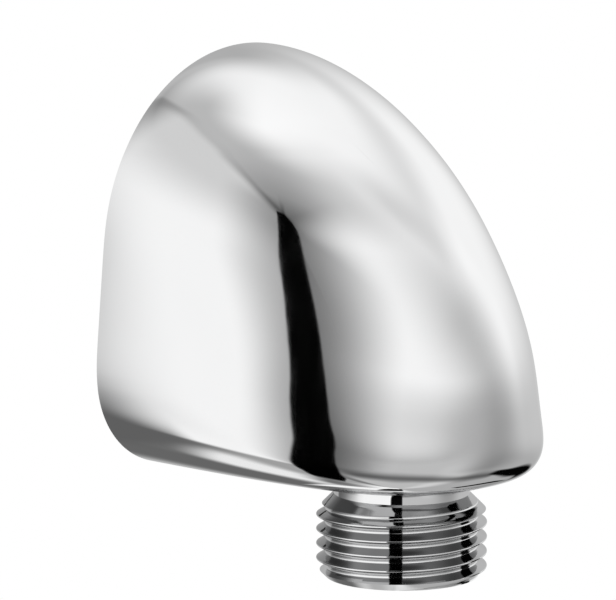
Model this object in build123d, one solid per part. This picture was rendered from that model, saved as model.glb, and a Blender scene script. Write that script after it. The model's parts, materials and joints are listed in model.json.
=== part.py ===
from build123d import *
import os
from math import asin, cos, degrees, pi, radians, sin, sqrt, tan

os.makedirs("parts", exist_ok=True)

# Wall outlet elbow, in millimetres. The wall is the plane Y = 0 and the hood stands out towards -Y.
# The origin is where the inlet's axis meets the wall, and +Z is up.

# Hood: outline on the wall
arch_radius = 24.6          # round top, about the inlet's axis
inlet_height = 26.7         # inlet's axis above the flat underside
side_flare = 5.4            # degrees that the sides lean outwards on their way down
corner_radius = 13.7        # rounding from the sides into the underside, at the wall

# Hood: side profile and plan
nose_reach = 44.0           # wall to the tip of the nose
nose_height = 11.0          # underside to the level where the nose stands upright
nose_edge_radius = 5.3      # rounding from the nose into the underside
brow_fullness = 0.39        # weight of the conic from the top of the wall outline to the nose
plan_fullness = 0.6         # weight of the conics that each level is drawn with
foot_fullness = 1.18        # weight added at the underside, where the outline is a fuller U
hood_wall = 2.8             # thickness of the casting

# Levels of the loft
corner_levels = 9           # round the lower corner
arch_levels = 12            # from the corner's top to the crown
crown_gap = 4.0             # degrees short of the arch's top, where the loft ends in a small flat

# Pipe thread G1/2, kept plain at its major radius
thread_radius = 10.4775
thread_root_radius = 9.316
thread_chamfer = 1.1

# Outlet spigot
outlet_reach = 26.8         # wall to the outlet's axis
outlet_length = 12.4        # underside to the spigot's end
outlet_neck = 2.4           # plain neck between underside and thread
outlet_neck_radius = 8.35   # undercut, where the thread runs out
neck_fillet = 1.4
outlet_bore_radius = 6.5
outlet_lead = 0.5           # chamfer at the bore's mouth
outlet_wall = 4.0           # column round the bore, inside the hood

# Socket and waterway inside the hood
socket_radius = 9.0
socket_wall = 3.0
socket_recess = 1.0         # the socket's rim stands back from the wall
socket_lead = 0.6           # chamfer at the rim
waterway_radius = 6.0
drill_angle = 118           # degrees, at the top of the outlet's bore

# Grub screw in the underside
screw_reach = 5.6           # wall to the screw's axis
screw_radius = 2.5
screw_recess = 2.73         # underside to the screw's lower end
screw_clearance = 0.04      # screw in its hole, on the radius
screw_boss_wall = 2.1
screw_point = 0.9           # chamfer at the point
screw_key = 2.5             # hexagon across flats
screw_key_depth = 3.0
screw_seat_gap = 0.02       # point to the floor of its groove
grip_groove_depth = 1.0
grip_side_gap = 0.2         # screw to the sides of its groove

# Seals: a round cord, squeezed between its groove and the socket
seal_cord = 1.78
seal_groove_depth = 1.45
seal_groove_width = 2.5
seal_land = 1.5             # collar between neighbouring grooves
seal_bevel = 0.45           # where the pressed cord rounds off
seal_clearance = 0.01

# Wall nipple
nipple_clearance = 0.05     # spigot in socket, on the radius
nipple_end_gap = 0.8        # spigot's end to the socket's floor
nipple_shoulder = 0.5       # the step up to the thread's root stands this far out of the wall
nipple_neck = 2.0           # plain neck behind the wall
nipple_length = 13.5        # wall to the thread's end
nipple_lead = 0.5           # chamfer at the spigot's end
nipple_bore_radius = 4.75
nipple_key = 10.0           # hexagon across flats
nipple_key_depth = 7.5

# Worked out from the above: levels are heights on Z, and reaches are distances from the wall
foot_level = -inlet_height
outlet_end = foot_level - outlet_length
thread_height = thread_radius - thread_root_radius
outlet_radius = outlet_bore_radius + outlet_wall
boss_radius = screw_radius + screw_boss_wall
nipple_radius = socket_radius - nipple_clearance
seal_floor = nipple_radius - seal_groove_depth
grip_floor = nipple_radius - grip_groove_depth
grip_half = screw_radius + grip_side_gap
seal_half = seal_groove_width / 2
rear_seal_reach = screw_reach + grip_half + seal_land + seal_half
front_seal_reach = rear_seal_reach + seal_groove_width + seal_land
nipple_reach = front_seal_reach + seal_half + seal_land
socket_depth = nipple_reach + nipple_end_gap

from_base = (Align.CENTER, Align.CENTER, Align.MIN)
from_back = (Align.CENTER, Align.MAX)


def tuck(height, radius):
    """How far a rounded edge has drawn in at this height above its flat."""
    short = min(max(radius - height, 0), radius)
    return radius - sqrt(radius**2 - short**2)


def half_width(z, inset):
    """Half the width of the wall outline at this level."""
    radius = arch_radius - inset
    lean = radians(side_flare)
    if z > radius * sin(lean):
        return sqrt(radius**2 - z**2)
    side = radius / cos(lean) - z * tan(lean)
    return side - tuck(z - foot_level - inset, corner_radius - inset)


def reach(z, inset):
    """Distance from the wall to the middle of the nose at this level, along a conic."""
    top = arch_radius - inset
    drop = min((top - z) / (top - foot_level - nose_height), 1)
    slack = 2 * drop * (1 - brow_fullness)
    t = (sqrt(slack**2 + 4 * drop * (1 - slack)) - slack) / (2 * (1 - slack))
    pull = 2 * brow_fullness * t * (1 - t)
    share = (pull + t**2) / (pull + t**2 + (1 - t) ** 2)
    return (nose_reach - inset) * share - tuck(z - foot_level - inset, nose_edge_radius - inset)


def outline(z, inset):
    """One level of the hood, from wall to wall round the nose, as two conics."""
    a = half_width(z, inset)
    b = reach(z, inset)
    corner = corner_radius - inset
    fullness = plan_fullness + foot_fullness * tuck(z - foot_level - inset, corner) / corner
    weights = (1, fullness, 1)
    left = Bezier((-a, 0, z), (-a, -b, z), (0, -b, z), weights=weights)
    right = Bezier((0, -b, z), (a, -b, z), (a, 0, z), weights=weights)
    return Wire([left, right])


def hood(inset, ruled):
    """Solid of the hood's form, drawn in by inset on every side but the wall's."""
    corner = corner_radius - inset
    radius = arch_radius - inset
    base = foot_level + inset
    turns = [90 * i / corner_levels for i in range(corner_levels)]
    levels = [base + corner * (1 - cos(radians(turn))) for turn in turns]
    first = degrees(asin((base + corner) / radius))
    climb = (90 - crown_gap - first) / arch_levels
    levels += [radius * sin(radians(first + climb * i)) for i in range(arch_levels + 1)]
    outlines = [outline(z, inset) for z in levels]
    skin = Shell.make_loft(outlines, ruled)
    ends = [outlines[0], outlines[-1]]
    sills = [Edge.make_line(end @ 0, end @ 1) for end in ends]
    flats = [Face(Wire([*end.edges(), sill])) for end, sill in zip(ends, sills)]
    rim = skin.edges().group_by(Axis.Y)[-1]
    back = Face(Wire([*rim, *sills]))
    return Solid(Shell([*skin.faces(), *flats, back]))


def bar(radius, start, end):
    """Cylinder on the inlet's axis, between two distances from the wall."""
    return Location((0, -start, 0), (90, 0, 0)) * Cylinder(radius, end - start, align=from_base)


def post(radius, distance, low, high):
    """Upright cylinder at a distance from the wall, between two levels."""
    return Location((0, -distance, low)) * Cylinder(radius, high - low, align=from_base)


def hexagon(across_flats, depth):
    """Hexagonal prism that grows along its own Z."""
    return extrude(RegularPolygon(across_flats / 2, 6, major_radius=False), depth)


def columns():
    """Solid stays inside the hood: outlet column, screw boss, and what joins each to the nose."""
    plan = Sketch()
    runs = [(outlet_radius, outlet_reach, nose_reach), (boss_radius, screw_reach, outlet_reach)]
    for radius, start, end in runs:
        plan += Location((0, -start)) * Circle(radius)
        plan += Location((0, -start)) * Rectangle(2 * radius, end - start, align=from_back)
    return Location((0, 0, foot_level)) * extrude(plan, inlet_height)


def waterway():
    """Socket for the nipple, and the bore that turns down into the outlet."""
    rim = socket_recess + socket_lead
    lead = Location((0, -rim, 0), (-90, 0, 0)) * Cone(
        socket_radius, socket_radius + rim, rim, align=from_base
    )
    drill_point = Location((0, -outlet_reach, 0)) * Cone(
        outlet_bore_radius, 0, outlet_bore_radius / tan(radians(drill_angle / 2)), align=from_base
    )
    mouth = Location((0, -outlet_reach, outlet_end)) * Cone(
        outlet_bore_radius + outlet_lead, outlet_bore_radius, outlet_lead, align=from_base
    )
    way = bar(socket_radius, 0, socket_depth) + lead + bar(waterway_radius, 0, outlet_reach)
    return way + drill_point + post(outlet_bore_radius, outlet_reach, outlet_end, 0) + mouth


def outlet_spigot():
    """Threaded spigot under the hood, with its neck rounded into the underside."""
    neck = outlet_neck_radius
    top = foot_level + hood_wall / 2
    fillet_start = (neck + neck_fillet, foot_level)
    fillet_end = (neck, foot_level - neck_fillet)
    neck_end = foot_level - outlet_neck
    rounding = TangentArc(fillet_start, fillet_end, tangent=(-1, 0))
    side = Polyline(
        fillet_end,
        (neck, neck_end),
        (thread_radius, neck_end - (thread_radius - neck)),
        (thread_radius, outlet_end + thread_chamfer),
        (thread_radius - thread_chamfer, outlet_end),
        (0, outlet_end),
        (0, top),
        (neck + neck_fillet, top),
        fillet_start,
    )
    profile = Plane.XZ * make_face([*rounding.edges(), *side.edges()])
    return Location((0, -outlet_reach, 0)) * revolve(profile, Axis.Z)


def elbow_body():
    """The casting: hollow hood with socket, waterway, screw boss and outlet spigot."""
    stays = bar(socket_radius + socket_wall, socket_recess, nose_reach) + columns()
    hollow = hood(hood_wall, ruled=True) - stays
    screw_hole = post(screw_radius + screw_clearance, screw_reach, foot_level, 0)
    return hood(0, ruled=False) + outlet_spigot() - hollow - waterway() - screw_hole


def groove(distance, half, floor):
    """Outline of a groove round the nipple, from its front side to its rear side."""
    front = -distance - half
    rear = -distance + half
    return [(nipple_radius, front), (floor, front), (floor, rear), (nipple_radius, rear)]


def wall_nipple():
    """Turned nipple: spigot with its grooves, then the thread that goes into the wall."""
    root = thread_root_radius
    profile = Polyline(
        (nipple_bore_radius, -nipple_reach),
        (nipple_radius - nipple_lead, -nipple_reach),
        (nipple_radius, nipple_lead - nipple_reach),
        *groove(front_seal_reach, seal_half, seal_floor),
        *groove(rear_seal_reach, seal_half, seal_floor),
        *groove(screw_reach, grip_half, grip_floor),
        (nipple_radius, -nipple_shoulder),
        (root, -nipple_shoulder),
        (root, nipple_neck),
        (thread_radius, nipple_neck + thread_height),
        (thread_radius, nipple_length - thread_chamfer),
        (thread_radius - thread_chamfer, nipple_length),
        (nipple_bore_radius, nipple_length),
        close=True,
    )
    key = Location((0, -nipple_reach, 0), (-90, 0, 0)) * hexagon(nipple_key, nipple_key_depth)
    return revolve(make_face(profile), Axis.Y) - key


def o_ring(distance):
    """Seal pressed flat against its groove and the socket, with the cord's area in its section."""
    height = socket_radius - seal_floor - 2 * seal_clearance
    length = (pi * seal_cord**2 / 4 + 2 * seal_bevel**2) / height
    middle = (socket_radius + seal_floor) / 2
    section = chamfer(Rectangle(height, length).vertices(), seal_bevel)
    return revolve(Location((middle, -distance)) * section, Axis.Y)


def grub_screw():
    """Hexagon socket set screw, from the groove in the nipple down to the underside."""
    tip = -grip_floor - screw_seat_gap
    end = foot_level + screw_recess
    profile = Polyline(
        (0, tip),
        (screw_radius - screw_point, tip),
        (screw_radius, tip - screw_point),
        (screw_radius, end),
        (0, end),
        close=True,
    )
    screw = revolve(Plane.XZ * make_face(profile), Axis.Z)
    key = Location((0, 0, end)) * hexagon(screw_key, screw_key_depth)
    return Location((0, -screw_reach, 0)) * (screw - key)


pieces = {
    "elbow_body": elbow_body(),
    "wall_nipple": wall_nipple(),
    "front_o_ring": o_ring(front_seal_reach),
    "rear_o_ring": o_ring(rear_seal_reach),
    "grub_screw": grub_screw(),
}
for node, piece in pieces.items():
    export_step(piece, f"parts/{node}.step")
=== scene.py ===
import json
from math import asin, ceil, cos, hypot, pi, radians, sin, sqrt, tan

import bmesh
import bpy
from mathutils import Matrix, Vector


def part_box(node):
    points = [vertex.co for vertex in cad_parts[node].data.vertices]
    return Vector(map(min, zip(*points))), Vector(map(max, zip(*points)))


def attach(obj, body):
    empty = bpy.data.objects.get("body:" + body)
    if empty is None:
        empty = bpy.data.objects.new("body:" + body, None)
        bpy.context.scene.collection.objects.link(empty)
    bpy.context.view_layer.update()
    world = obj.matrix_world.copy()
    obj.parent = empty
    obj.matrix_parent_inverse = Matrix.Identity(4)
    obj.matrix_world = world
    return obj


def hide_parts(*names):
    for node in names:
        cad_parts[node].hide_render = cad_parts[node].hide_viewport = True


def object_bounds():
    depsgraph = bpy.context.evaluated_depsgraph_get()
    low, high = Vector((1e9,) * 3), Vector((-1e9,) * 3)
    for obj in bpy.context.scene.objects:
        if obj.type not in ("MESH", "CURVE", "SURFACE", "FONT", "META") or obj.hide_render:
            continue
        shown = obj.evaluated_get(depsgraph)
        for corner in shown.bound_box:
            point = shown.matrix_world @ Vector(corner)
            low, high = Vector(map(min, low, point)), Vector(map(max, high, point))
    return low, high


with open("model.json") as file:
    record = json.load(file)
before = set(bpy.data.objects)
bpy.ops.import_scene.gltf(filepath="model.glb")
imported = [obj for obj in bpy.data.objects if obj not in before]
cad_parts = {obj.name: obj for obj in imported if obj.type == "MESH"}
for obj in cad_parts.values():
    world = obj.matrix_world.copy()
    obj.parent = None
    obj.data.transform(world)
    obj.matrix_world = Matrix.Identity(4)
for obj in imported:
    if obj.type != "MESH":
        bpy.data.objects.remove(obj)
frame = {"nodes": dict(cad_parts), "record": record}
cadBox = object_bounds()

# Pieces are shaped in millimetres in the frame of the CAD model and scaled to metres at the end.
mm = 0.001
weld = 0.0001  # points of a mesh that are closer than this are one
mounts = {mount["name"]: mount for mount in frame["record"]["mounts"]}
outletReach = -mounts["hose_outlet"]["pos_m"][1] / mm  # wall to the outlet's axis
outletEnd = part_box("elbow_body")[0].z / mm  # level of the spigot's end
threadRadius = mounts["hose_outlet"]["dims"]["r_mm"]
print("frame: nodes", sorted(frame["nodes"]))


# Materials

noiseSwing = (0.3, 0.7)  # most of a noise's values lie between these


def newMaterial(name, colour, metallic, roughness):
    material = bpy.data.materials.new(name)
    material.use_nodes = True
    shader = material.node_tree.nodes["Principled BSDF"]
    shader.inputs["Base Color"].default_value = (*colour, 1)
    shader.inputs["Metallic"].default_value = metallic
    shader.inputs["Roughness"].default_value = roughness
    return material


def addNode(material, kind, **settings):
    node = material.node_tree.nodes.new(kind)
    for setting, value in settings.items():
        if setting in node.inputs:
            node.inputs[setting].default_value = value
        else:
            setattr(node, setting, value)
    return node


def noiseOf(material, scale, stretch=(1, 1, 1), detail=3.0):
    # noise on Object coordinates, scale in waves per metre
    place = addNode(material, "ShaderNodeTexCoord")
    mapping = addNode(material, "ShaderNodeMapping", Scale=stretch)
    noise = addNode(material, "ShaderNodeTexNoise", Scale=scale, Detail=detail)
    link = material.node_tree.links.new
    link(place.outputs["Object"], mapping.inputs["Vector"])
    link(mapping.outputs["Vector"], noise.inputs["Vector"])
    return noise.outputs["Fac"]


def varyValue(material, source, socket, low, high):
    spread = addNode(material, "ShaderNodeMapRange")
    spread.inputs["From Min"].default_value = noiseSwing[0]
    spread.inputs["From Max"].default_value = noiseSwing[1]
    spread.inputs["To Min"].default_value = low
    spread.inputs["To Max"].default_value = high
    shader = material.node_tree.nodes["Principled BSDF"]
    material.node_tree.links.new(source, spread.inputs["Value"])
    material.node_tree.links.new(spread.outputs["Result"], shader.inputs[socket])


def varyColour(material, source, low, high):
    ramp = addNode(material, "ShaderNodeValToRGB")
    for stop, place, colour in zip(ramp.color_ramp.elements, noiseSwing, (low, high)):
        stop.position = place
        stop.color = (*colour, 1)
    shader = material.node_tree.nodes["Principled BSDF"]
    material.node_tree.links.new(source, ramp.inputs["Fac"])
    material.node_tree.links.new(ramp.outputs["Color"], shader.inputs["Base Color"])


def addBump(material, source, height):
    # height in metres, of a full swing of the source
    bump = addNode(material, "ShaderNodeBump", Strength=1.0, Distance=height)
    shader = material.node_tree.nodes["Principled BSDF"]
    material.node_tree.links.new(source, bump.inputs["Height"])
    material.node_tree.links.new(bump.outputs["Normal"], shader.inputs["Normal"])


def polishedChrome():
    material = newMaterial("polishedChrome", (0.95, 0.95, 0.95), 1, 0.04)
    haze = noiseOf(material, 90)
    varyColour(material, haze, (0.94, 0.942, 0.945), (0.955, 0.957, 0.96))
    buffing = noiseOf(material, 900, stretch=(1, 1, 0.15))
    varyValue(material, buffing, "Roughness", 0.03, 0.05)
    return material


def shadedThreadChrome():
    # darker between the crests of a thread: painted shade, and thinner plating there
    material = newMaterial("shadedThreadChrome", (0.42, 0.42, 0.42), 1, 0.05)
    haze = noiseOf(material, 200)
    varyColour(material, haze, (0.39, 0.392, 0.395), (0.45, 0.452, 0.455))
    toolMarks = noiseOf(material, 5000, stretch=(0.05, 0.05, 1))
    varyValue(material, toolMarks, "Roughness", 0.04, 0.06)
    return material


def satinRim():
    # plated over a ground face, so less bright than the hood
    material = newMaterial("satinRim", (0.7, 0.7, 0.7), 1, 0.35)
    grinding = noiseOf(material, 2500, stretch=(1, 1, 0.04))
    varyColour(material, grinding, (0.66, 0.662, 0.665), (0.74, 0.742, 0.745))
    varyValue(material, grinding, "Roughness", 0.3, 0.42)
    return material


def castInside():
    material = newMaterial("castInside", (0.5, 0.49, 0.47), 1, 0.45)
    grain = noiseOf(material, 1600, detail=5.0)
    varyColour(material, grain, (0.36, 0.35, 0.33), (0.56, 0.55, 0.53))
    varyValue(material, grain, "Roughness", 0.38, 0.55)
    addBump(material, grain, 0.00006)
    return material


def turnedBrass():
    material = newMaterial("turnedBrass", (0.78, 0.6, 0.3), 1, 0.2)
    tarnish = noiseOf(material, 160)
    varyColour(material, tarnish, (0.72, 0.53, 0.25), (0.82, 0.64, 0.34))
    toolMarks = noiseOf(material, 9000, stretch=(0.02, 1, 0.02))
    varyValue(material, toolMarks, "Roughness", 0.14, 0.3)
    addBump(material, toolMarks, 0.000004)
    return material


def mouldedRubber():
    material = newMaterial("mouldedRubber", (0.03, 0.03, 0.03), 0, 0.5)
    bloom = noiseOf(material, 500)
    varyColour(material, bloom, (0.018, 0.018, 0.019), (0.045, 0.045, 0.046))
    varyValue(material, bloom, "Roughness", 0.42, 0.62)
    addBump(material, noiseOf(material, 6000), 0.000008)
    return material


def screwSteel():
    material = newMaterial("screwSteel", (0.55, 0.55, 0.56), 1, 0.28)
    oxide = noiseOf(material, 700)
    varyColour(material, oxide, (0.42, 0.42, 0.44), (0.6, 0.6, 0.61))
    varyValue(material, oxide, "Roughness", 0.22, 0.36)
    addBump(material, noiseOf(material, 5000), 0.000006)
    return material


# Modelling helpers

def closeMesh(bm):
    bmesh.ops.remove_doubles(bm, verts=bm.verts, dist=weld)
    openEdges = [edge for edge in bm.edges if edge.is_boundary]
    if openEdges:
        bmesh.ops.holes_fill(bm, edges=openEdges, sides=0)
    bmesh.ops.recalc_face_normals(bm, faces=bm.faces)
    return bm


def toObject(bm, name, materials, finish=0):
    # finish is the material index that every face takes
    for face in bm.faces:
        face.material_index = finish
    mesh = bpy.data.meshes.new(name)
    bm.to_mesh(mesh)
    bm.free()
    for material in materials:
        mesh.materials.append(material)
    piece = bpy.data.objects.new(name, mesh)
    bpy.context.scene.collection.objects.link(piece)
    return piece


def carve(piece, tool, how="DIFFERENCE"):
    step = piece.modifiers.new("carve", "BOOLEAN")
    step.operation = how
    step.solver = "EXACT"
    step.object = tool
    graph = bpy.context.evaluated_depsgraph_get()
    carved = bpy.data.meshes.new_from_object(piece.evaluated_get(graph))
    piece.modifiers.clear()
    used = [piece.data, tool.data]
    piece.data = carved
    bpy.data.objects.remove(tool)
    for mesh in used:
        bpy.data.meshes.remove(mesh)


def turned(points, steps):
    # solid of revolution about Z from a profile of (radius, level) that starts and ends on the axis
    bm = bmesh.new()
    corners = [bm.verts.new((radius, 0, level)) for radius, level in points]
    for start, end in zip(corners, corners[1:]):
        bm.edges.new((start, end))
    profile = bm.verts[:] + bm.edges[:]
    bmesh.ops.spin(bm, geom=profile, axis=(0, 0, 1), angle=2 * pi, steps=steps, use_merge=True)
    return closeMesh(bm)


def cylinder(radius, low, high, segments):
    bm = bmesh.new()
    bmesh.ops.create_cone(
        bm, cap_ends=True, segments=segments, radius1=radius, radius2=radius, depth=high - low
    )
    bmesh.ops.translate(bm, verts=bm.verts, vec=(0, 0, (low + high) / 2))
    return bm


def hexagonBar(flats, low, high):
    return cylinder(flats / 2 / cos(pi / 6), low, high, 6)


def alongInlet(bm):
    bmesh.ops.rotate(bm, verts=bm.verts, matrix=Matrix.Rotation(-pi / 2, 3, "X"))  # Z becomes +Y
    return bm


def shift(bm, vec):
    bmesh.ops.translate(bm, verts=bm.verts, vec=vec)
    return bm


def finishPiece(piece, node, sharpAngle=30):
    # edges that turn by more degrees than sharpAngle stay sharp
    mesh = piece.data
    mesh.transform(Matrix.Scale(mm, 4))
    mesh.shade_smooth()
    mesh.set_sharp_from_angle(angle=radians(sharpAngle))
    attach(piece, "root")
    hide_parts(node)
    print("piece:", piece.name, len(mesh.polygons), "faces")


# Rounded pipe and screw threads

pipeThread = {
    "radius": threadRadius,
    "rootRadius": 9.316,
    "pitch": 1.814,
    "flankAngle": 55,
    "crestRounding": 0.12,
    "rootRounding": 0.25,
    "arcSteps": 6,
    "flankSteps": 3,
    "turnSteps": 144,
}
screwThread = {
    "radius": 2.5,
    "rootRadius": 2.05,
    "pitch": 0.8,
    "flankAngle": 60,
    "crestRounding": 0.06,
    "rootRounding": 0.08,
    "arcSteps": 3,
    "flankSteps": 1,
    "turnSteps": 64,
}


def threadProfile(thread):
    # one pitch from crest to crest, as (radius, level)
    swing = 90 - thread["flankAngle"] / 2
    tip = thread["crestRounding"]
    bed = thread["rootRounding"]
    crest = thread["radius"] - tip
    root = thread["rootRadius"] + bed
    middle = thread["pitch"] / 2
    arc = [radians(swing * (2 * i / thread["arcSteps"] - 1)) for i in range(thread["arcSteps"] + 1)]
    hill = [(crest + tip * cos(a), tip * sin(a)) for a in arc]
    valley = [(root - bed * cos(a), middle + bed * sin(a)) for a in arc]
    nextHill = (hill[0][0], hill[0][1] + thread["pitch"])
    points = []
    for stretch, target in ((hill, valley[0]), (valley, nextHill)):
        points += stretch
        last = Vector(stretch[-1])
        for i in range(1, thread["flankSteps"] + 1):
            points.append(tuple(last.lerp(Vector(target), i / (thread["flankSteps"] + 1))))
    return points


def threadRod(thread, low, high, threadLow, threadHigh, crestLevel, clear):
    # closed rod with a right-hand thread, flared out to the clear radius beyond the thread's ends
    bm = bmesh.new()
    pitch = thread["pitch"]
    first = crestLevel - pitch * (ceil((crestLevel - low) / pitch) + 2)  # turns to spare under the rod
    turns = ceil((high - first) / pitch) + 1
    profile = threadProfile(thread)
    points = [(r, first + pitch * turn + level) for turn in range(turns) for r, level in profile]
    corners = [bm.verts.new((radius, 0, level)) for radius, level in points]
    for start, end in zip(corners, corners[1:]):
        bm.edges.new((start, end))
    steps = thread["turnSteps"]
    bmesh.ops.spin(
        bm, geom=bm.verts[:] + bm.edges[:], axis=(0, 0, 1), dvec=(0, 0, pitch / steps),
        angle=2 * pi, steps=steps, use_merge=False,
    )
    bmesh.ops.remove_doubles(bm, verts=bm.verts, dist=10 * weld)  # joins each turn to the next
    for vert in bm.verts:
        if not threadLow < vert.co.z < threadHigh:
            grow = clear / hypot(vert.co.x, vert.co.y)
            vert.co.x *= grow
            vert.co.y *= grow
    for level, side in ((low, -1), (high, 1)):
        bmesh.ops.bisect_plane(
            bm, geom=bm.verts[:] + bm.edges[:] + bm.faces[:], dist=weld / 10,
            plane_co=(0, 0, level), plane_no=(0, 0, side), clear_outer=True,
        )
    return closeMesh(bm)


# Elbow body: the hood's skin, its hollow, the stays inside and the threaded spigot

hood = {
    "archRadius": 24.6,  # round top, about the inlet's axis
    "inletHeight": 26.7,  # inlet's axis above the flat underside
    "sideFlare": 5.4,  # degrees
    "cornerRadius": 13.7,
    "noseReach": 44.0,
    "noseHeight": 11.0,  # above the underside, where the nose stands upright
    "noseEdge": 5.3,
    "browFullness": 0.39,
    "planFullness": 0.6,
    "footFullness": 1.18,
    "wall": 2.8,
    "softSpan": 4.0,  # how far up and down the blend between two curves reaches
    "softShare": 0.35,  # of the height that is left above or below
    "softSteps": 4,
    "skinGrid": (192, 40, 112),  # columns, rows round the lower corner and rows up the arch
    "hollowGrid": (72, 16, 44),
    "rimFacing": 0.99,  # least share of a rim face's normal that points into the wall
    "rimDepth": 0.01,  # rim faces lie no farther than this from the wall
}
bodyFinish = {"chrome": 0, "cast": 1, "thread": 2, "rim": 3}  # places in the body's list of materials
footLevel = -hood["inletHeight"]
spigot = {
    "neckRadius": 8.35,  # undercut, below the thread's root
    "neckFillet": 1.4,
    "filletSteps": 12,
    "neckLength": 2.1,
    "endRadius": 9.38,  # at the end, under the chamfer
    "clear": 10.7,  # outside the crests
    "crestLevel": -4.82,  # a crest on the left of the view, from the underside
    "crestAngle": 134.8,  # degrees, direction of that crest round the outlet's axis
    "plainFrom": -2.0,  # from the underside, where the thread has run out
    "flankRise": 0.6,  # steeper faces than this are the thread's flanks
    "steps": 144,
}
inside = {
    "socketRadius": 9.0,
    "socketWall": 3.0,
    "socketRecess": 1.0,
    "socketLead": 0.6,
    "socketDepth": 18.6,
    "waterRadius": 6.0,
    "boreRadius": 6.5,
    "boreChamfer": 0.5,
    "drillAngle": 118,
    "outletWall": 4.0,
    "bossRadius": 4.6,
    "screwReach": 5.6,
    "screwHole": 2.54,
    "overshoot": 1.0,  # how far a cutter stands out of what it cuts
    "steps": 96,
    "staySteps": 64,
    "screwHoleSteps": 48,
}


def tuck(height, radius):
    # how far a rounded edge has drawn in at this height
    short = min(max(radius - height, 0), radius)
    return radius - sqrt(radius**2 - short**2)


def halfWidth(z, inset):
    radius = hood["archRadius"] - inset
    lean = radians(hood["sideFlare"])
    if z > radius * sin(lean):
        return sqrt(max(radius**2 - z**2, 0))
    side = radius / cos(lean) - z * tan(lean)
    return side - tuck(z - footLevel - inset, hood["cornerRadius"] - inset)


def noseReach(z, inset):
    # along a conic from the top of the wall outline to the upright nose
    top = hood["archRadius"] - inset
    drop = min(max((top - z) / (top - footLevel - hood["noseHeight"]), 0), 1)
    weight = hood["browFullness"]
    slack = 2 * drop * (1 - weight)
    t = (sqrt(slack**2 + 4 * drop * (1 - slack)) - slack) / (2 * (1 - slack))
    pull = 2 * weight * t * (1 - t)
    share = (pull + t**2) / (pull + t**2 + (1 - t) ** 2)
    edge = tuck(z - footLevel - inset, hood["noseEdge"] - inset)
    return (hood["noseReach"] - inset) * share - edge


def rowLevel(row, cornerRows, archRows, inset):
    corner = hood["cornerRadius"] - inset
    radius = hood["archRadius"] - inset
    base = footLevel + inset
    if row <= cornerRows:
        return base + corner * (1 - cos(pi / 2 * row / cornerRows))
    first = asin((base + corner) / radius)
    return radius * sin(first + (pi / 2 - first) * (row - cornerRows) / archRows)


def planWeight(z, inset):
    corner = hood["cornerRadius"] - inset
    gather = tuck(z - footLevel - inset, corner) / corner
    return hood["planFullness"] + hood["footFullness"] * gather


def softened(shape, z, inset):
    # mean over a short stretch of levels, so that reflections run on across the joins of the curves
    room = min(z - footLevel - inset, hood["archRadius"] - inset - z)
    span = min(hood["softSpan"], hood["softShare"] * room)
    steps = hood["softSteps"]
    total = 0
    whole = 0
    for i in range(-steps, steps + 1):
        share = 1 - abs(i) / (steps + 1)
        total += share * shape(z + span * i / steps, inset)
        whole += share
    return total / whole


def hoodPoint(across, z, width, reach, weight):
    # across runs from -1 at the left of the wall round the nose to 1 at the right
    wallShare = abs(across) ** 2
    noseShare = (1 - abs(across)) ** 2
    pull = 2 * weight * abs(across) * (1 - abs(across))
    whole = wallShare + pull + noseShare
    x = width * (wallShare + pull) / whole
    y = -reach * (noseShare + pull) / whole
    return Vector((x if across > 0 else -x, y, z))


def hoodForm(inset, columns, cornerRows, archRows):
    bm = bmesh.new()
    rows = cornerRows + archRows
    levels = [rowLevel(row, cornerRows, archRows, inset) for row in range(rows + 1)]
    shapes = (halfWidth, noseReach, planWeight)
    outlines = [(z, *(softened(shape, z, inset) for shape in shapes)) for z in levels]
    bmesh.ops.create_grid(bm, x_segments=columns, y_segments=rows, size=1)
    for vert in bm.verts:
        row = round((vert.co.y + 1) / 2 * rows)
        vert.co = hoodPoint(vert.co.x, *outlines[row])
    bmesh.ops.remove_doubles(bm, verts=bm.verts, dist=weld)
    foot = footLevel + inset
    corners = [v for v in bm.verts if v.co.y > -weld and v.co.z < foot + weld]
    sill = bmesh.ops.contextual_create(bm, geom=corners)["edges"]
    openEdges = [edge for edge in bm.edges if edge.is_boundary]
    footLoop = [e for e in openEdges if max(v.co.z for v in e.verts) < foot + weld]
    rimLoop = [e for e in openEdges if min(v.co.y for v in e.verts) > -weld]
    for loop in (footLoop, rimLoop):
        bmesh.ops.edgeloop_fill(bm, edges=loop + sill)
    bmesh.ops.recalc_face_normals(bm, faces=bm.faces)
    return bm


def stay(radius, start, end):
    # upright column whose nose side is drawn out as far as end
    bm = cylinder(radius, footLevel, 0, inside["staySteps"])
    front = [vert for vert in bm.verts if vert.co.y < 0]
    bmesh.ops.translate(bm, verts=front, vec=(0, start - end, 0))
    return shift(bm, (0, -start, 0))


def spigotProfile():
    root = spigot["neckRadius"]
    fillet = spigot["neckFillet"]
    top = footLevel + hood["wall"] / 2
    start = footLevel - spigot["neckLength"]
    points = [(0, top), (root + fillet, top)]
    for i in range(spigot["filletSteps"] + 1):
        turn = pi / 2 * i / spigot["filletSteps"]
        points.append((root + fillet - fillet * sin(turn), footLevel - fillet + fillet * cos(turn)))
    points.append((root, start))
    points.append((spigot["clear"], start - (spigot["clear"] - root)))
    points.append((spigot["clear"], outletEnd + spigot["clear"] - spigot["endRadius"]))
    points.append((spigot["endRadius"], outletEnd))
    points.append((0, outletEnd))
    return points


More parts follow.
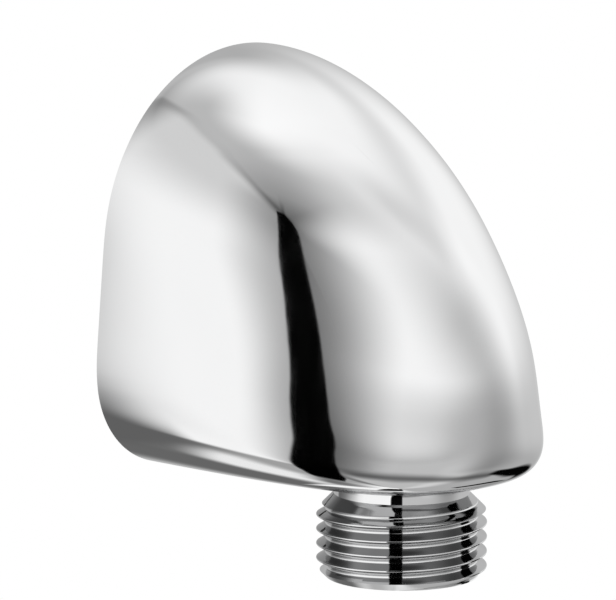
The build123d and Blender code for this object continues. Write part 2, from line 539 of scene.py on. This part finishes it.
def threadedSpigot(materials):
    piece = toObject(turned(spigotProfile(), spigot["steps"]), "spigot", materials)
    over = inside["overshoot"]
    rod = threadRod(
        pipeThread, outletEnd - over, footLevel + over + hood["wall"],
        outletEnd - 2 * over, footLevel + spigot["plainFrom"],
        footLevel + spigot["crestLevel"], 2 * threadRadius,
    )
    turn = Matrix.Rotation(radians(spigot["crestAngle"]), 3, "Z")
    bmesh.ops.rotate(rod, verts=rod.verts, matrix=turn)
    carve(piece, toObject(rod, "spigotThread", materials), "INTERSECT")
    low = outletEnd + threadRadius - spigot["endRadius"]
    high = footLevel - spigot["neckLength"]
    # steep faces of the thread take the darker chrome: painted shade between the crests, and thinner
    # plating there
    for face in piece.data.polygons:
        if low < face.center.z < high and abs(face.normal.z) > spigot["flankRise"]:
            face.material_index = bodyFinish["thread"]
    piece.data.transform(Matrix.Translation((0, -outletReach, 0)))
    return piece


def hollowForm(materials):
    over = inside["overshoot"]
    bm = hoodForm(hood["wall"], *hood["hollowGrid"])
    for vert in bm.verts:
        if vert.co.y > -weld:
            vert.co.y = over
    hollow = toObject(bm, "hollow", materials, bodyFinish["cast"])
    outside = inside["socketRadius"] + inside["socketWall"]
    socket = cylinder(outside, inside["socketRecess"], hood["noseReach"], inside["steps"])
    toNose = Matrix.Rotation(pi / 2, 3, "X")  # Z becomes -Y
    bmesh.ops.rotate(socket, verts=socket.verts, matrix=toNose)
    stays = [
        socket,
        stay(inside["boreRadius"] + inside["outletWall"], outletReach, hood["noseReach"]),
        stay(inside["bossRadius"], inside["screwReach"], outletReach),
    ]
    for bm in stays:
        carve(hollow, toObject(bm, "stay", materials, bodyFinish["cast"]))
    return hollow


def waterwayForms():
    over = inside["overshoot"]
    rim = inside["socketRecess"] + inside["socketLead"]
    radius = inside["socketRadius"]
    inlet = [
        (0, -outletReach),
        (inside["waterRadius"], -outletReach),
        (inside["waterRadius"], -inside["socketDepth"]),
        (radius, -inside["socketDepth"]),
        (radius, -rim),
        (radius + rim + over, over),
        (0, over),
    ]
    bore = inside["boreRadius"]
    chamfer = inside["boreChamfer"]
    outlet = [
        (0, bore / tan(radians(inside["drillAngle"] / 2))),
        (bore, 0),
        (bore, outletEnd + chamfer),
        (bore + chamfer + over, outletEnd - over),
        (0, outletEnd - over),
    ]
    hole = cylinder(inside["screwHole"], footLevel - over, 0, inside["screwHoleSteps"])
    return [
        alongInlet(turned(inlet, inside["steps"])),
        shift(turned(outlet, inside["steps"]), (0, -outletReach, 0)),
        shift(hole, (0, -inside["screwReach"], 0)),
    ]


def buildElbowBody():
    materials = [polishedChrome(), castInside(), shadedThreadChrome(), satinRim()]
    skin = hoodForm(0, *hood["skinGrid"])
    body = toObject(skin, "elbowBody", materials, bodyFinish["chrome"])
    carve(body, threadedSpigot(materials), "UNION")
    carve(body, hollowForm(materials))
    for bm in waterwayForms():
        carve(body, toObject(bm, "waterway", materials, bodyFinish["cast"]))
    for face in body.data.polygons:
        if face.normal.y > hood["rimFacing"] and face.center.y > -hood["rimDepth"]:
            face.material_index = bodyFinish["rim"]
    finishPiece(body, "elbow_body")


# Wall nipple, seals and grub screw

nipple = {
    "spigotRadius": 8.95,
    "reach": 17.8,  # wall to the spigot's end
    "lead": 0.5,
    "shoulder": 0.5,
    "neckRadius": 9.3,
    "neckLength": 2.0,
    "length": 13.5,
    "endRadius": 9.38,
    "clear": 10.7,
    "sealFloor": 7.5,
    "sealHalf": 1.25,
    "sealReach": (15.05, 11.05),  # wall to the seals' middles
    "gripFloor": 7.95,
    "gripHalf": 2.7,
    "boreRadius": 4.75,
    "key": 10.0,  # hexagon across flats
    "keyDepth": 7.5,
    "steps": 128,
    "boreSteps": 96,
}


def nippleGroove(middle, half, floor):
    edge = nipple["spigotRadius"]
    low = -middle - half
    high = -middle + half
    return [(edge, low), (floor, low), (floor, high), (edge, high)]


def buildWallNipple():
    materials = [turnedBrass()]
    front, rear = nipple["sealReach"]
    edge = nipple["spigotRadius"]
    clear = nipple["clear"]
    profile = [
        (0, -nipple["reach"]),
        (edge - nipple["lead"], -nipple["reach"]),
        (edge, nipple["lead"] - nipple["reach"]),
        *nippleGroove(front, nipple["sealHalf"], nipple["sealFloor"]),
        *nippleGroove(rear, nipple["sealHalf"], nipple["sealFloor"]),
        *nippleGroove(inside["screwReach"], nipple["gripHalf"], nipple["gripFloor"]),
        (edge, -nipple["shoulder"]),
        (nipple["neckRadius"], -nipple["shoulder"]),
        (nipple["neckRadius"], nipple["neckLength"]),
        (clear, nipple["neckLength"] + clear - nipple["neckRadius"]),
        (clear, nipple["length"] - clear + nipple["endRadius"]),
        (nipple["endRadius"], nipple["length"]),
        (0, nipple["length"]),
    ]
    piece = toObject(turned(profile, nipple["steps"]), "wallNipple", materials)
    over = inside["overshoot"]
    low = -nipple["reach"] - over
    rod = threadRod(
        pipeThread, low, nipple["length"] + over,
        nipple["neckLength"] / 2, nipple["length"] + 2 * over, nipple["length"], 2 * threadRadius,
    )
    carve(piece, toObject(rod, "nippleThread", materials), "INTERSECT")
    bore = cylinder(nipple["boreRadius"], low, nipple["length"] + over, nipple["boreSteps"])
    carve(piece, toObject(bore, "nippleBore", materials))
    keyHole = hexagonBar(nipple["key"], low, nipple["keyDepth"] - nipple["reach"])
    carve(piece, toObject(keyHole, "nippleKey", materials))
    piece.data.transform(Matrix.Rotation(-pi / 2, 4, "X"))  # Z becomes +Y, into the wall
    finishPiece(piece, "wall_nipple")


seal = {
    "cord": 1.78,
    "clearance": 0.01,
    "sectionSteps": 28,
    "steps": 128,
    "sharpAngle": 60,
}


def buildSeals():
    rubber = mouldedRubber()
    inner = nipple["sealFloor"] + seal["clearance"]
    outer = inside["socketRadius"] - seal["clearance"]
    squeeze = (outer - inner) / seal["cord"]
    names = (("frontSeal", "front_o_ring"), ("rearSeal", "rear_o_ring"))
    for (name, node), middle in zip(names, nipple["sealReach"]):
        bm = bmesh.new()
        bmesh.ops.create_circle(bm, segments=seal["sectionSteps"], radius=seal["cord"] / 2)
        pressed = (squeeze, 1 / squeeze, 1)  # between groove and socket
        bmesh.ops.scale(bm, verts=bm.verts, vec=pressed)
        bmesh.ops.rotate(bm, verts=bm.verts, matrix=Matrix.Rotation(pi / 2, 3, "X"))
        shift(bm, ((inner + outer) / 2, 0, -middle))
        section = bm.verts[:] + bm.edges[:]
        bmesh.ops.spin(
            bm, geom=section, axis=(0, 0, 1), angle=2 * pi, steps=seal["steps"], use_merge=True
        )
        alongInlet(closeMesh(bm))
        finishPiece(toObject(bm, name, [rubber]), node, seal["sharpAngle"])


screw = {
    "point": 0.9,
    "tip": -7.97,
    "end": -23.97,
    "endBevel": 0.35,
    "clear": 2.7,
    "key": 2.5,  # hexagon across flats
    "keyDepth": 3.0,
    "steps": 64,
}


def buildGrubScrew():
    materials = [screwSteel()]
    clear = screw["clear"]
    radius = screwThread["radius"]
    bevel = screw["endBevel"]
    tip = radius - screw["point"]
    profile = [
        (0, screw["tip"]),
        (tip, screw["tip"]),
        (clear, screw["tip"] - clear + tip),
        (clear, screw["end"] + clear - radius + bevel),
        (radius - bevel, screw["end"]),
        (0, screw["end"]),
    ]
    piece = toObject(turned(profile, screw["steps"]), "grubScrew", materials)
    over = inside["overshoot"]
    low = screw["end"] - over
    high = screw["tip"] + over
    rod = threadRod(screwThread, low, high, low - over, high + over, screw["end"], 2 * clear)
    carve(piece, toObject(rod, "screwThread", materials), "INTERSECT")
    keyHole = hexagonBar(screw["key"], low, screw["end"] + screw["keyDepth"])
    carve(piece, toObject(keyHole, "screwKey", materials))
    piece.data.transform(Matrix.Translation((0, -inside["screwReach"], 0)))
    finishPiece(piece, "grub_screw")


# Studio: white surroundings, cards that show only in the metal, lamps, floor and camera

studio = {  # lengths in metres
    "cardDistance": 3.5,  # of the farthest card
    "cardSpacing": 0.02,
    "cardColumns": 64,
    "cardRows": 32,
    "archPower": 2.6,  # how late a card's arch and sag set in, towards its sides
    "cardLayers": 8,  # a ray crosses no more cards than this
    "ambient": 0.6,  # light of the surroundings on what isn't shiny
    "floorDrop": 0.06,  # under the object
    "floorRadius": 0.2,
    "floorFade": 0.1,  # radius up to which the floor is whole
    "floorSteps": 96,
}


def compass(azimuth, elevation, distance):
    # azimuth 0 is in front of the nose and 90 on its right-hand side, towards +X
    level = distance * cos(radians(elevation))
    return Vector(
        (
            level * sin(radians(azimuth)),
            -level * cos(radians(azimuth)),
            distance * sin(radians(elevation)),
        )
    )


def featherShare(material, feather):
    # 1 inside a card and 0 at its feathered edges: left, right, low and high, as shares of its size
    link = material.node_tree.links.new
    place = addNode(material, "ShaderNodeTexCoord")
    axes = addNode(material, "ShaderNodeSeparateXYZ")
    link(place.outputs["UV"], axes.inputs["Vector"])
    left, right, low, high = feather
    share = None
    for axis, edge, full in (("X", 0, left), ("X", 1, 1 - right), ("Y", 0, low), ("Y", 1, 1 - high)):
        fade = addNode(material, "ShaderNodeMapRange", interpolation_type="SMOOTHSTEP")
        fade.inputs["From Min"].default_value = edge
        fade.inputs["From Max"].default_value = full
        link(axes.outputs[axis], fade.inputs["Value"])
        if share is None:
            share = fade.outputs["Result"]
            continue
        both = addNode(material, "ShaderNodeMath", operation="MULTIPLY")
        link(share, both.inputs[0])
        link(fade.outputs["Result"], both.inputs[1])
        share = both.outputs["Value"]
    return share


def cardMaterial(name, card):
    # a film dims what is behind it, a panel glows by itself
    material = bpy.data.materials.new(name)
    material.use_nodes = True
    material.node_tree.nodes.clear()
    link = material.node_tree.links.new
    share = featherShare(material, card["feather"])
    grey = card["grey"]
    film = addNode(material, "ShaderNodeBsdfTransparent")
    output = addNode(material, "ShaderNodeOutputMaterial")
    if card.get("panel"):
        glow = addNode(material, "ShaderNodeEmission", Color=(grey, grey, grey, 1))
        mix = addNode(material, "ShaderNodeMixShader")
        link(share, mix.inputs["Fac"])
        link(film.outputs["BSDF"], mix.inputs[1])
        link(glow.outputs["Emission"], mix.inputs[2])
        link(mix.outputs["Shader"], output.inputs["Surface"])
        return material
    tint = addNode(material, "ShaderNodeMapRange")
    tint.inputs["To Min"].default_value = 1
    tint.inputs["To Max"].default_value = grey
    link(share, tint.inputs["Value"])
    link(tint.outputs["Result"], film.inputs["Color"])
    link(film.outputs["BSDF"], output.inputs["Surface"])
    return material


cards = {  # far to near: azimuth and elevation in degrees, each as (from, to)
    "ceiling": {
        "azimuth": (-240, 95),
        "elevation": (42, 90),
        "grey": 0.5,
        "feather": (0.25, 0.45, 0.15, 0.4),
    },
    "valley": {
        "azimuth": (-104, -14),
        "elevation": (36, 82),
        "grey": 0.54,
        "feather": (0.5, 0.5, 0.25, 0.65),
    },
    "behind": {
        "azimuth": (100, 235),
        "elevation": (-85, 62),
        "lean": 24,
        "grey": 0.45,
        "feather": (0.26, 0.2, 0.1, 0.16),
    },
    "behindLow": {
        "azimuth": (105, 195),
        "elevation": (-62, -20),
        "grey": 0.3,
        "feather": (0.25, 0.3, 0.25, 0.4),
    },
    "leftLower": {
        "azimuth": (-192, -84),
        "elevation": (-85, -30),
        "grey": 0.36,
        "feather": (0.25, 0.1, 0.3, 0.1),
    },
    "lowGleam": {
        "panel": True,
        "azimuth": (-196, -126),
        "elevation": (-68, -48),
        "grey": 0.86,
        "feather": (0.25, 0.45, 0.35, 0.3),
    },
    "leftPanel": {
        "panel": True,
        "azimuth": (-177, -60),
        "elevation": (-50, 70),
        "arch": 24,
        "sag": 24,
        "grey": 0.95,
        "feather": (0.3, 0.04, 0.03, 0.07),
    },
    "leftTop": {
        "azimuth": (-182, -56),
        "elevation": (22, 70),
        "arch": 24,
        "grey": 0.68,
        "feather": (0.05, 0.03, 0.62, 0.1),
    },
    "leftShade": {
        "azimuth": (-185, -108),
        "elevation": (-44, 45),
        "grey": 0.05,
        "feather": (0.1, 0.7, 0.3, 0.95),
    },
    "lowCorner": {
        "panel": True,
        "azimuth": (-205, -124),
        "elevation": (-54, -8),
        "sag": 22,
        "grey": 0.12,
        "feather": (0.2, 0.38, 0.16, 0.55),
    },
    "rightField": {
        "azimuth": (62, 152),
        "elevation": (-26, 88),
        "grey": 0.94,
        "feather": (0.25, 0.25, 0.25, 0.3),
    },
    "frontPanel": {
        "panel": True,
        "azimuth": (-64, 66),
        "elevation": (-12, 68),
        "arch": 20,
        "grey": 0.95,
        "feather": (0.01, 0.3, 0.1, 0.18),
    },
    "lowerFront": {
        "azimuth": (-77, 45),
        "elevation": (-90, 14),
        "lean": -35,
        "grey": 0.52,
        "feather": (0.03, 0.45, 0.001, 0.2),
    },
    "lowerRight": {
        "azimuth": (-8, 140),
        "elevation": (-90, 22),
        "grey": 0.42,
        "feather": (0.4, 0.2, 0.001, 0.42),
    },
}
shades = {  # nearer than the cards: azimuth, elevation and half width along a smooth curve, in degrees
    "lowerBand": {
        "spine": (
            (-100, -50, 14),
            (-72, -46, 18),
            (-48, -46, 23),
            (-24, -48, 19),
            (0, -52.5, 15),
            (24, -54, 11),
            (48, -51.5, 13),
            (66, -47, 10),
            (78, -43, 8),
        ),
        "grey": 0.26,
        "feather": (0.5, 0.5, 0.1, 0.1),
    },
    "leftEdge": {
        "spine": (
            (-77.5, 58, 9),
            (-78.5, 38, 10),
            (-85.5, 15, 8.5),
            (-90.5, -8, 6.5),
            (-101, -30, 6),
            (-116, -50, 5),
        ),
        "grey": 0.46,
        "feather": (0.97, 0.02, 0.08, 0.1),
    },
    "stripShade": {
        "spine": (
            (-38, 60, 13),
            (-43, 46, 15),
            (-50, 30, 16.5),
            (-60, 0, 17),
            (-70, -31, 17),
            (-78, -52, 17),
        ),
        "grey": 0.2,
        "feather": (0.01, 0.97, 0.15, 0.3),
    },
    "noseShade": {
        "spine": (
            (17, 68, 40),
            (19, 40, 49),
            (23, 20, 53),
            (28, 0, 48),
            (34, -20, 42),
            (38, -50, 40),
        ),
        "grey": 0.56,
        "feather": (0.5, 0.5, 0.12, 0.25),
    },
    "rightArch": {
        "spine": (
            (20, 69, 8),
            (36, 66, 10),
            (48, 60, 13),
            (60, 52, 16),
            (74, 48, 14),
            (90, 44, 12),
            (104, 38, 11),
            (116, 34, 10),
            (128, 31, 9),
            (140, 28, 8),
        ),
        "grey": 0.8,
        "feather": (0.5, 0.5, 0.35, 0.2),
    },
    "strip": {
        "spine": (
            (-65.2, 50.5, 0.9),
            (-63.9, 45.5, 2.6),
            (-66.4, 36, 3),
            (-71.2, 23, 3.4),
            (-74.6, 12, 4.9),
            (-75.9, 1, 5.7),
            (-80.2, -10.5, 5.4),
            (-84.4, -21, 6),
            (-93, -39, 7),
            (-106, -55, 6.6),
            (-117, -62, 5.4),
            (-140, -69, 3.2),
        ),
        "grey": 0.0005,
        "feather": (0.07, 0.08, 0.06, 0.02),
    },
    "rightGap": {
        "spine": (
            (60, -44, 3),
            (78, -41, 5.5),
            (94, -35, 8.5),
            (107, -29.5, 6.5),
            (124, -26, 4),
        ),
        "grey": 0.003,
        "feather": (0.2, 0.3, 0.2, 0.15),
    },
}
drum = {  # radius and levels, in millimetres, of the small cards that stand round the spigot
    "radius": 15,
    "cards": {
        "nearWhite": {
            "panel": True,
            "azimuth": (-108, -59.5),
            "levels": (-47, -28.6),
            "grey": 0.95,
            "feather": (0.4, 0.02, 0.05, 0.03),
        },
        "nearBlack": {
            "azimuth": (-59.5, -45),
            "levels": (-47, -28.6),
            "grey": 0.004,
            "feather": (0.03, 0.08, 0.03, 0.03),
        },
        "nearGap": {
            "azimuth": (26, 46),
            "levels": (-50, -31),
            "grey": 0.01,
            "feather": (0.1, 0.1, 0.05, 0.05),
        },
    },
}


def asCard(bm, name, card):
    piece = toObject(bm, name, [cardMaterial(name, card)])
    piece.visible_camera = False
    piece.visible_diffuse = False
    piece.visible_transmission = False
    piece.visible_volume_scatter = False
    piece.visible_shadow = False


def cardGrid():
    bm = bmesh.new()
    bm.loops.layers.uv.new("UVMap")
    columns = studio["cardColumns"]
    rows = studio["cardRows"]
    bmesh.ops.create_grid(bm, x_segments=columns, y_segments=rows, size=1, calc_uvs=True)
    return bm


def cardPoint(card, across, up, distance):
    # across and up run from -1 to 1
    # arch lowers the upper corners, sag lifts the lower ones and lean moves the left edge's foot
    bend = abs(across) ** studio["archPower"]
    left, right = card["azimuth"]
    low, high = card["elevation"]
    bottom = low + card.get("sag", 0) * bend
    top = high - card.get("arch", 0) * bend
    elevation = bottom + (up + 1) / 2 * (top - bottom)
    left += card.get("lean", 0) * (high - elevation) / (high - low)
    return compass(left + (across + 1) / 2 * (right - left), elevation, distance)


def spinePoint(spine, share):
    # smooth curve through the spine's points
    points = [Vector(point) for point in spine]
    place = share * (len(points) - 1)
    i = min(int(place), len(points) - 2)
    t = place - i
    start = points[i]
    end = points[i + 1]
    slope = (end - points[max(i - 1, 0)]) / 2
    nextSlope = (points[min(i + 2, len(points) - 1)] - start) / 2
    bend = 3 * t**2 - 2 * t**3
    return start + (end - start) * bend + slope * (t - 2 * t**2 + t**3) + nextSlope * (t**3 - t**2)


def shadePoint(spine, across, along, distance):
    # across runs square to the spine, towards larger azimuths where the spine runs down
    tiny = 0.002
    share = min(max((1 - along) / 2, tiny), 1 - tiny)
    azimuth, elevation, half = spinePoint(spine, share)
    middle = compass(azimuth, elevation, 1)
    ahead = compass(*spinePoint(spine, share + tiny)[:2], 1)
    behind = compass(*spinePoint(spine, share - tiny)[:2], 1)
    side = middle.cross(ahead - behind).normalized()
    turn = radians(half * across)
    return distance * (cos(turn) * middle + sin(turn) * side)


def buildCards():
    distance = studio["cardDistance"]
    for name, card in cards.items():
        bm = cardGrid()
        for vert in bm.verts:
            vert.co = cardPoint(card, vert.co.x, vert.co.y, distance)
        asCard(bm, name, card)
        distance -= studio["cardSpacing"]
    for name, shade in shades.items():
        bm = cardGrid()
        for vert in bm.verts:
            vert.co = shadePoint(shade["spine"], vert.co.x, vert.co.y, distance)
        asCard(bm, name, shade)
        distance -= studio["cardSpacing"]


def buildDrum():
    for name, card in drum["cards"].items():
        left, right = card["azimuth"]
        low, high = card["levels"]
        bm = cardGrid()
        for vert in bm.verts:
            azimuth = left + (vert.co.x + 1) / 2 * (right - left)
            level = low + (vert.co.y + 1) / 2 * (high - low)
            vert.co = compass(azimuth, 0, drum["radius"]) + Vector((0, -outletReach, level))
        bmesh.ops.scale(bm, verts=bm.verts, vec=(mm, mm, mm))
        asCard(bm, name, card)


def buildWorld():
    world = bpy.data.worlds.new("studio")
    bpy.context.scene.world = world
    world.use_nodes = True
    tree = world.node_tree
    tree.nodes.clear()
    rays = tree.nodes.new("ShaderNodeLightPath")
    shown = rays.outputs["Is Camera Ray"]
    for kind in ("Is Glossy Ray", "Is Transmission Ray"):
        either = tree.nodes.new("ShaderNodeMath")
        either.operation = "MAXIMUM"
        tree.links.new(shown, either.inputs[0])
        tree.links.new(rays.outputs[kind], either.inputs[1])
        shown = either.outputs["Value"]
    ambient = tree.nodes.new("ShaderNodeBackground")
    ambient.inputs["Color"].default_value = (1, 1, 1, 1)
    ambient.inputs["Strength"].default_value = studio["ambient"]
    white = tree.nodes.new("ShaderNodeBackground")
    white.inputs["Color"].default_value = (1, 1, 1, 1)
    white.inputs["Strength"].default_value = 1
    mix = tree.nodes.new("ShaderNodeMixShader")
    output = tree.nodes.new("ShaderNodeOutputWorld")
    tree.links.new(shown, mix.inputs["Fac"])
    tree.links.new(ambient.outputs["Background"], mix.inputs[1])
    tree.links.new(white.outputs["Background"], mix.inputs[2])
    tree.links.new(mix.outputs["Shader"], output.inputs["Surface"])


lamps = {  # azimuth and elevation in degrees, distance and size in metres, power in watts
    "keyLamp": (-80, 50, 0.8, 0.5, 2.2),
    "fillLamp": (40, 35, 0.9, 0.6, 1.2),
}


def buildLamps():
    for name, (azimuth, elevation, distance, size, power) in lamps.items():
        light = bpy.data.lights.new(name, "AREA")
        light.size = size
        light.energy = power
        lamp = bpy.data.objects.new(name, light)
        lamp.location = compass(azimuth, elevation, distance)
        lamp.rotation_euler = (-lamp.location).to_track_quat("-Z", "Y").to_euler()
        lamp.visible_glossy = False
        bpy.context.scene.collection.objects.link(lamp)


def buildFloor():
    material = newMaterial("paleFloor", (0.86, 0.86, 0.85), 0, 0.6)
    speckle = noiseOf(material, 300)
    varyColour(material, speckle, (0.84, 0.84, 0.83), (0.88, 0.88, 0.87))
    place = addNode(material, "ShaderNodeTexCoord")
    flat = addNode(material, "ShaderNodeMapping", Scale=(1, 1, 0))
    length = addNode(material, "ShaderNodeVectorMath", operation="LENGTH")
    fade = addNode(material, "ShaderNodeMapRange", interpolation_type="SMOOTHSTEP")
    fade.inputs["From Min"].default_value = studio["floorFade"]
    fade.inputs["From Max"].default_value = studio["floorRadius"]
    fade.inputs["To Min"].default_value = 1
    fade.inputs["To Max"].default_value = 0
    side = addNode(material, "ShaderNodeNewGeometry")
    fromAbove = addNode(material, "ShaderNodeMath", operation="SUBTRACT", use_clamp=True)
    link = material.node_tree.links.new
    link(place.outputs["Object"], flat.inputs["Vector"])
    link(flat.outputs["Vector"], length.inputs[0])
    link(length.outputs["Value"], fade.inputs["Value"])
    link(fade.outputs["Result"], fromAbove.inputs[0])
    link(side.outputs["Backfacing"], fromAbove.inputs[1])  # clear from below, to show the underside
    link(fromAbove.outputs["Value"], material.node_tree.nodes["Principled BSDF"].inputs["Alpha"])
    bm = bmesh.new()
    steps = studio["floorSteps"]
    bmesh.ops.create_circle(bm, cap_ends=True, segments=steps, radius=studio["floorRadius"])
    shift(bm, (0, 0, cadBox[0][2] - studio["floorDrop"]))
    floor = toObject(bm, "floor", [material])
    floor.visible_glossy = False


view = {  # distances in millimetres
    "azimuth": -45.2,  # the camera stands in front, to the left
    "elevation": 8.68,
    "target": (-5.1, -15.7, -5.7),
    "distance": 500,
    "lens": 238.3,
    "sensor": 36,
    "clipStart": 10,
}


def buildCamera():
    data = bpy.data.cameras.new("camera")
    data.sensor_fit = "HORIZONTAL"
    data.sensor_width = view["sensor"]
    data.lens = view["lens"]
    data.clip_start = view["clipStart"] * mm
    camera = bpy.data.objects.new("camera", data)
    back = compass(view["azimuth"], view["elevation"], view["distance"] * mm)
    camera.location = Vector(view["target"]) * mm + back
    camera.rotation_euler = (-back).to_track_quat("-Z", "Y").to_euler()
    bpy.context.scene.collection.objects.link(camera)
    bpy.context.scene.camera = camera


buildElbowBody()
buildWallNipple()
buildSeals()
buildGrubScrew()
buildWorld()
buildCards()
buildDrum()
buildLamps()
buildFloor()
buildCamera()
bpy.context.scene.view_settings.view_transform = "Standard"
bpy.context.scene.cycles.min_transparent_bounces = studio["cardLayers"]  # or the cards bring noise
print("studio: world, cards, lamps, floor and camera")
